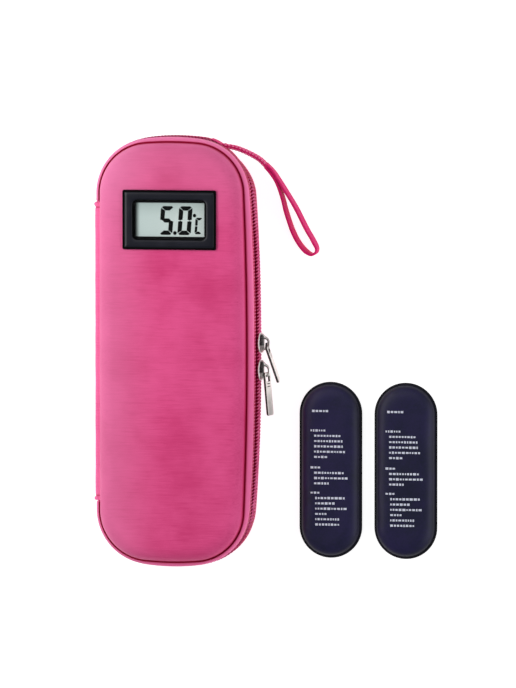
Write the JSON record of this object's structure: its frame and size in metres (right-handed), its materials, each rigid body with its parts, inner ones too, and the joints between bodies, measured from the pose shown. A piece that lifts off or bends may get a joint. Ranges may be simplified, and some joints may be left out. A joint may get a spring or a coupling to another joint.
{
  "type": "insulin cooling case",
  "caption": "Long moulded zip case with a temperature display in its cover, a wrist strap and loose gel packs beside it, laid on its back.",
  "frame": {"origin": "middle of the flat face of the back half that the case rests on", "axes": "+Z out of the front of the case, +X towards the zip sliders, +Y towards the end with the display and the strap"},
  "size_m": [0.1665, 0.2116, 0.0391],
  "materials": {
    "shell_fabric": "fine woven polyester bonded to moulded foam board, satin",
    "spine_fabric": "fine woven polyester",
    "foam": "closed cell foam with foil face",
    "lining_cloth": "plain woven lining",
    "zip_tape": "woven tape",
    "zip_coil": "nylon coil",
    "strap_webbing": "narrow folded webbing",
    "elastic": "woven elastic",
    "net": "knitted net",
    "bezel_plastic": "satin black moulding",
    "window_plastic": "clear acrylic",
    "lcd": "liquid crystal glass, grey green",
    "connector_rubber": "layered silicone strip",
    "board": "green solder mask",
    "housing_plastic": "black moulding",
    "cell_steel": "nickel plated steel",
    "slider_metal": "gunmetal plated zinc",
    "pull_metal": "gunmetal plated zinc",
    "pack_film": "dark blue laminated film"
  },
  "bodies": {
    "root": {"back_shell": "shell_fabric", "back_insulation": "foam", "back_lining": "lining_cloth", "back_zip_tape": "zip_tape", "back_zip_teeth": "zip_coil", "spine_back": "spine_fabric", "strap_anchor": "strap_webbing", "strap_root": "strap_webbing", "wrist_strap": "strap_webbing", "pen_loops_upper": "elastic", "pen_loops_lower": "elastic"},
    "cover": {"front_shell": "shell_fabric", "front_insulation": "foam", "front_lining": "lining_cloth", "front_zip_tape": "zip_tape", "front_zip_teeth": "zip_coil", "spine_front": "spine_fabric", "mesh_pocket": "net", "pocket_binding": "elastic", "display_bezel": "bezel_plastic", "display_window": "window_plastic", "lcd_panel": "lcd", "elastomer_connector": "connector_rubber", "circuit_board": "board", "module_housing": "housing_plastic", "retaining_clip_left": "housing_plastic", "retaining_clip_right": "housing_plastic", "battery_cell_left": "cell_steel", "battery_cell_right": "cell_steel", "probe_gland": "housing_plastic"},
    "battery_door": {"battery_door": "housing_plastic"},
    "upper_slider": {"upper_slider": "slider_metal"},
    "lower_slider": {"lower_slider": "slider_metal"},
    "upper_pull": {"upper_pull": "pull_metal"},
    "lower_pull": {"lower_pull": "pull_metal"},
    "gel_pack_left": {"gel_pack_left": "pack_film"},
    "gel_pack_right": {"gel_pack_right": "pack_film"}
  },
  "joints": [
    {"name": "cover_hinge", "type": "hinge", "parent": "root", "child": "cover", "pos_m": [-0.0392, 0, 0.0188], "axis": [0, -1, 0], "range_deg": [0, 174]},
    {"name": "battery_door_slide", "type": "slide", "parent": "cover", "child": "battery_door", "axis": [1, 0, 0], "range_m": [0, 0.007]},
    {"name": "upper_slider_slide", "type": "slide", "parent": "root", "child": "upper_slider", "axis": [-0.024, 0.9997, 0], "range_m": [0, 0.05]},
    {"name": "lower_slider_slide", "type": "slide", "parent": "root", "child": "lower_slider", "axis": [0.0225, 0.9997, 0], "range_m": [-0.05, 0]},
    {"name": "upper_pull_swing", "type": "hinge", "parent": "upper_slider", "child": "upper_pull", "pos_m": [0.0451, 0.0029, 0.0188], "axis": [0.1091, -0.4724, 0.8746], "range_deg": [-8, 90]},
    {"name": "lower_pull_swing", "type": "hinge", "parent": "lower_slider", "child": "lower_pull", "pos_m": [0.0451, -0.0105, 0.0188], "axis": [-0.3078, -0.0269, 0.9511], "range_deg": [-3, 70]},
    {"name": "gel_pack_left_lift", "type": "slide", "parent": "root", "child": "gel_pack_left", "axis": [0, 0, 1], "range_m": [0, 0.06]},
    {"name": "gel_pack_right_lift", "type": "slide", "parent": "root", "child": "gel_pack_right", "axis": [0, 0, 1], "range_m": [0, 0.06]}
  ]
}
